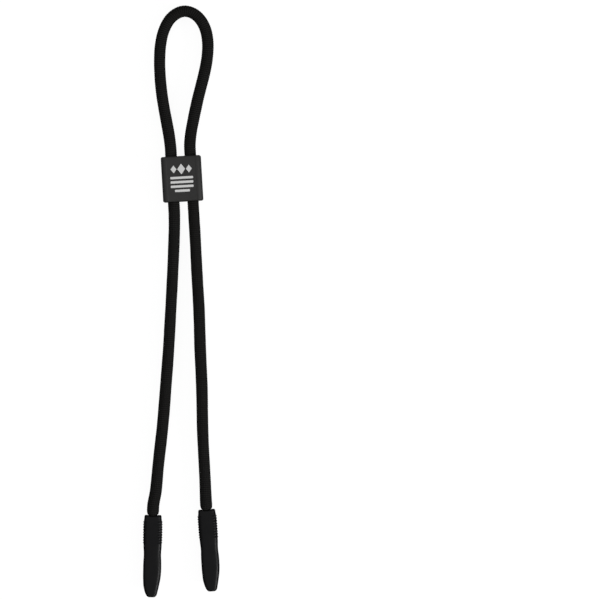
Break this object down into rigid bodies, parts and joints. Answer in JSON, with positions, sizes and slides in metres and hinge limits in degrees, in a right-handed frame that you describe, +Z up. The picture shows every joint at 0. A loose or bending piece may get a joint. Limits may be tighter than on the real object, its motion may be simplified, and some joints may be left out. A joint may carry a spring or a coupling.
{
  "type": "eyeglass retainer strap",
  "caption": "Soft round cord doubled through a flat sliding bead, with rubber sleeves on its ends that push over spectacle temple arms to hang the glasses from the neck.",
  "frame": {"origin": "middle of the slider's back face, the face that it rests on when the strap lies flat", "axes": "+Z up out of the slider's printed face; +Y along the strap from the tips towards the loop; +X to the right as seen from above with the loop away"},
  "size_m": [0.039, 0.2999, 0.009],
  "materials": {
    "cord_knit": "soft knitted cover, matt black, fine rings across the cord",
    "slider_plastic": "satin charcoal moulding with a light grey pad print",
    "tip_rubber": "satin black moulded rubber with ribbed edges",
    "ferrule_metal": "plain crimped tube"
  },
  "bodies": {
    "cord": {"cord": "cord_knit"},
    "slider": {"slider": "slider_plastic"},
    "cord_end_left": {"cord_end_left": "cord_knit"},
    "cord_end_right": {"cord_end_right": "cord_knit"},
    "tip_left": {"tip_left": "tip_rubber", "ferrule_left": "ferrule_metal"},
    "tip_right": {"tip_right": "tip_rubber", "ferrule_right": "ferrule_metal"}
  },
  "joints": [
    {"name": "slider_slide", "type": "slide", "parent": "cord", "child": "slider", "axis": [-0.0576, 0.9983, 0], "range_m": [-0.075, 0.03], "deforming": ["cord"]},
    {"name": "neck_left_swing", "type": "hinge", "parent": "cord", "child": "cord_end_left", "pos_m": [-0.0138, -0.1612, 0.003], "axis": [0, 0, -1], "range_deg": [-12, 60]},
    {"name": "neck_right_swing", "type": "hinge", "parent": "cord", "child": "cord_end_right", "pos_m": [0.0119, -0.1583, 0.003], "axis": [0, 0, 1], "range_deg": [-12, 60]},
    {"name": "tip_left_twist", "type": "hinge", "parent": "cord_end_left", "child": "tip_left", "pos_m": [-0.01485, -0.1713, 0.00315], "axis": [-0.0145, -0.9999, 0], "range_deg": [-90, 90]},
    {"name": "tip_right_twist", "type": "hinge", "parent": "cord_end_right", "child": "tip_right", "pos_m": [0.01245, -0.1684, 0.00315], "axis": [0.0724, -0.9974, 0], "range_deg": [-90, 90]}
  ]
}
